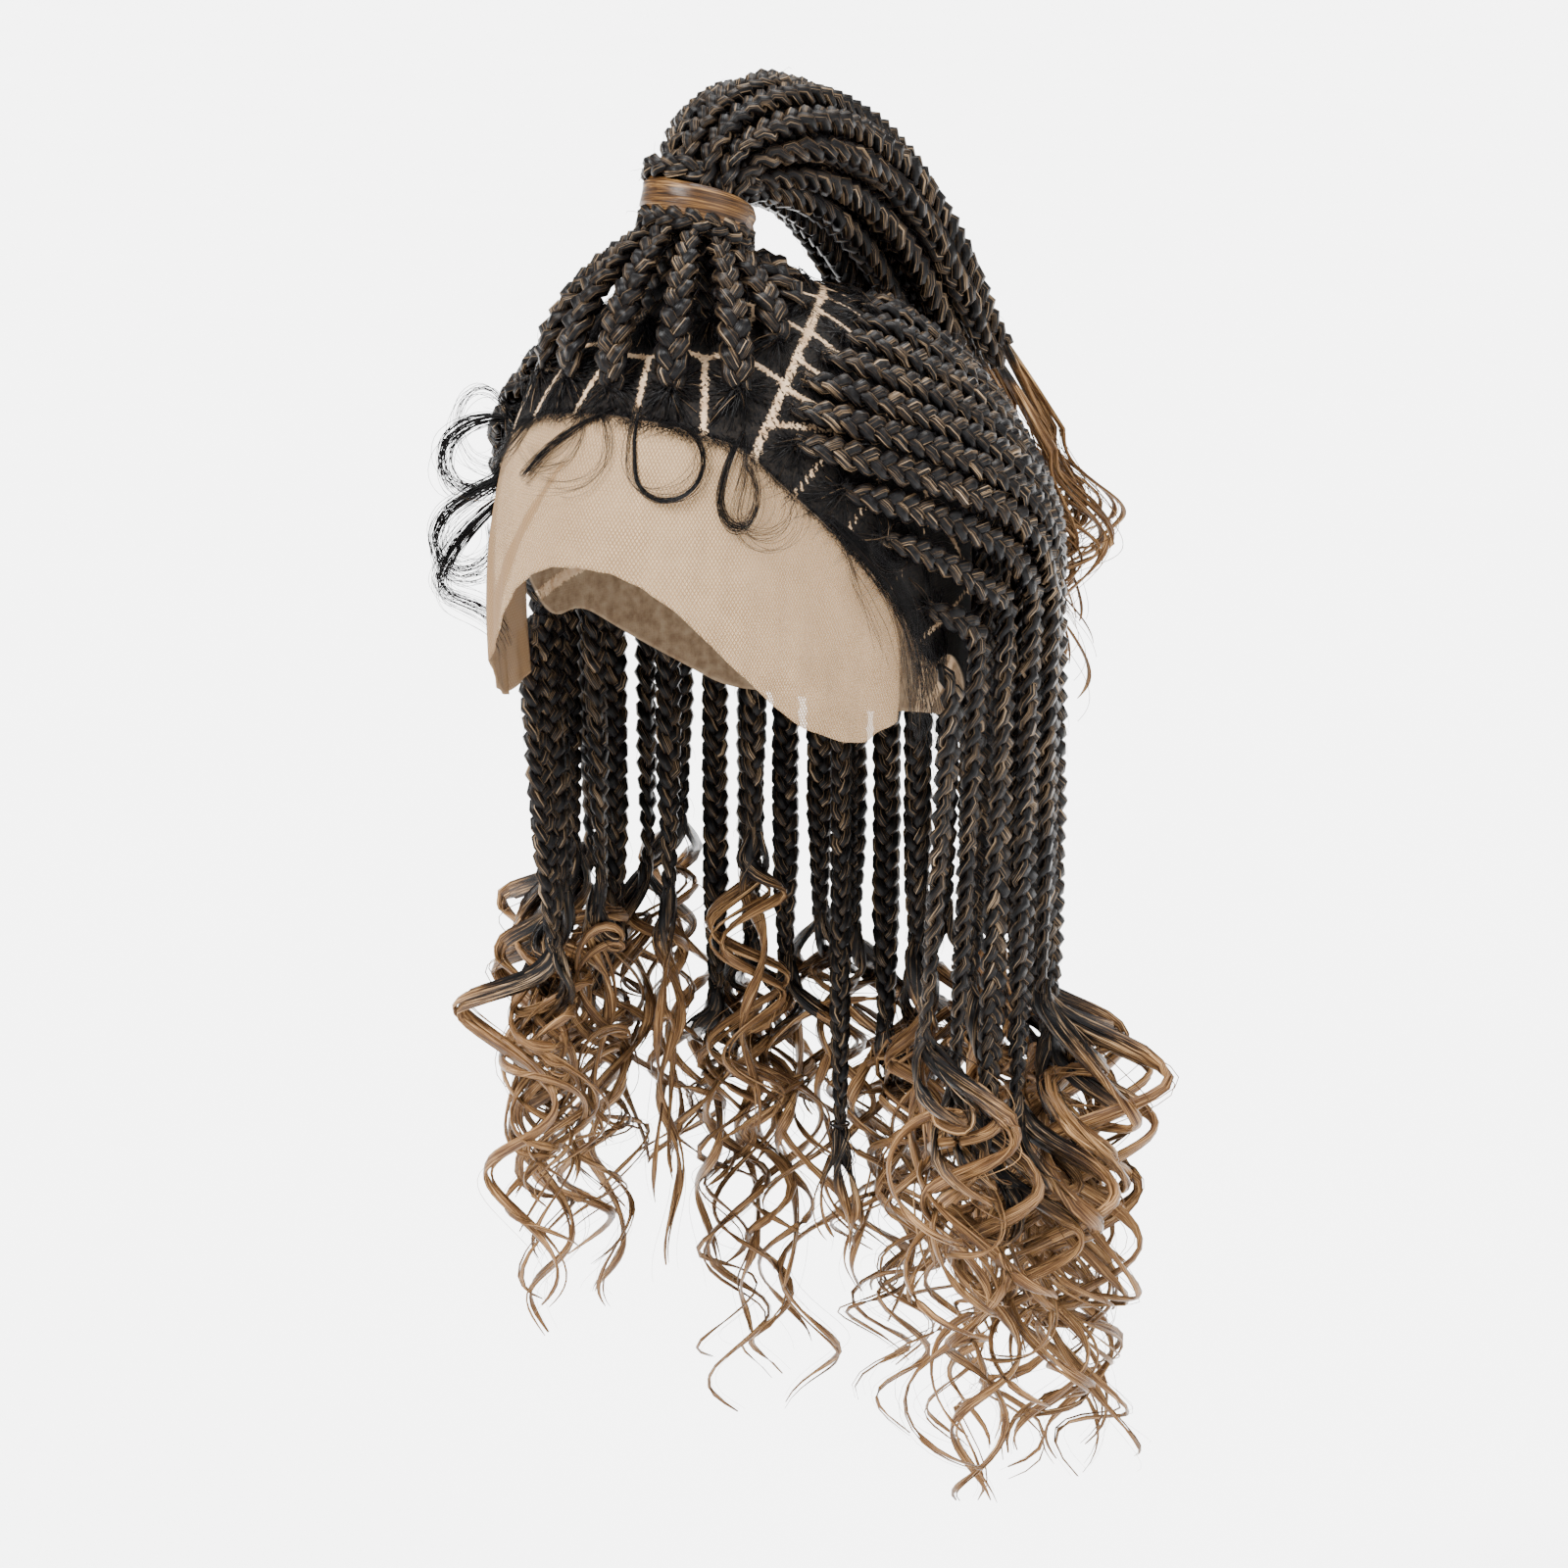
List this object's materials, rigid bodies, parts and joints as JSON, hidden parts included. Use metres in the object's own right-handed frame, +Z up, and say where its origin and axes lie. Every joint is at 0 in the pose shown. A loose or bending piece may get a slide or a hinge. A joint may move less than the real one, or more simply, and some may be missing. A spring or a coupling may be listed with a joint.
{
  "type": "braid wig",
  "caption": "Lace-front braid wig in its worn form: box braids with curled brown ends, a half-up ponytail wrapped in a lock of hair, and a sheer lace front.",
  "frame": {"origin": "inside of the cap at the crown, where the top of the head touches", "axes": "+Z up, face towards -Y, wearer's left towards +X"},
  "size_m": [0.2713, 0.2901, 0.5357],
  "materials": {
    "braid_hair": "black-brown synthetic braiding hair with tan strands, soft sheen",
    "wrap_hair": "smooth honey-brown synthetic hair",
    "cap_lace": "cream lace with hand-tied hair",
    "front_lace": "sheer tan lace mesh"
  },
  "bodies": {
    "root": {"lace_cap": "cap_lace", "lace_front": "front_lace", "hair_wrap": "wrap_hair", "fall_braid_01": "braid_hair", "fall_braid_02": "braid_hair", "fall_braid_03": "braid_hair", "fall_braid_04": "braid_hair", "fall_braid_05": "braid_hair", "fall_braid_06": "braid_hair", "fall_braid_07": "braid_hair", "fall_braid_08": "braid_hair", "fall_braid_09": "braid_hair", "fall_braid_10": "braid_hair", "fall_braid_11": "braid_hair", "fall_braid_12": "braid_hair", "fall_braid_13": "braid_hair", "fall_braid_14": "braid_hair", "fall_braid_15": "braid_hair", "fall_braid_16": "braid_hair", "fall_braid_17": "braid_hair", "fall_braid_18": "braid_hair", "fall_braid_19": "braid_hair", "fall_braid_20": "braid_hair", "fall_braid_21": "braid_hair", "fall_braid_22": "braid_hair", "fall_braid_23": "braid_hair", "fall_braid_24": "braid_hair", "fall_braid_25": "braid_hair", "fall_braid_26": "braid_hair", "fall_braid_27": "braid_hair", "fall_braid_28": "braid_hair", "under_braid_01": "braid_hair", "under_braid_02": "braid_hair", "under_braid_03": "braid_hair", "under_braid_04": "braid_hair", "under_braid_05": "braid_hair", "under_braid_06": "braid_hair", "under_braid_07": "braid_hair", "under_braid_08": "braid_hair", "top_braid_01": "braid_hair", "top_braid_02": "braid_hair", "top_braid_03": "braid_hair", "top_braid_04": "braid_hair", "top_braid_05": "braid_hair", "top_braid_06": "braid_hair", "top_braid_07": "braid_hair", "top_braid_08": "braid_hair", "top_braid_09": "braid_hair", "top_braid_10": "braid_hair", "top_braid_11": "braid_hair", "top_braid_12": "braid_hair", "top_braid_13": "braid_hair", "top_braid_14": "braid_hair", "top_braid_15": "braid_hair", "top_braid_16": "braid_hair"}
  },
  "joints": []
}
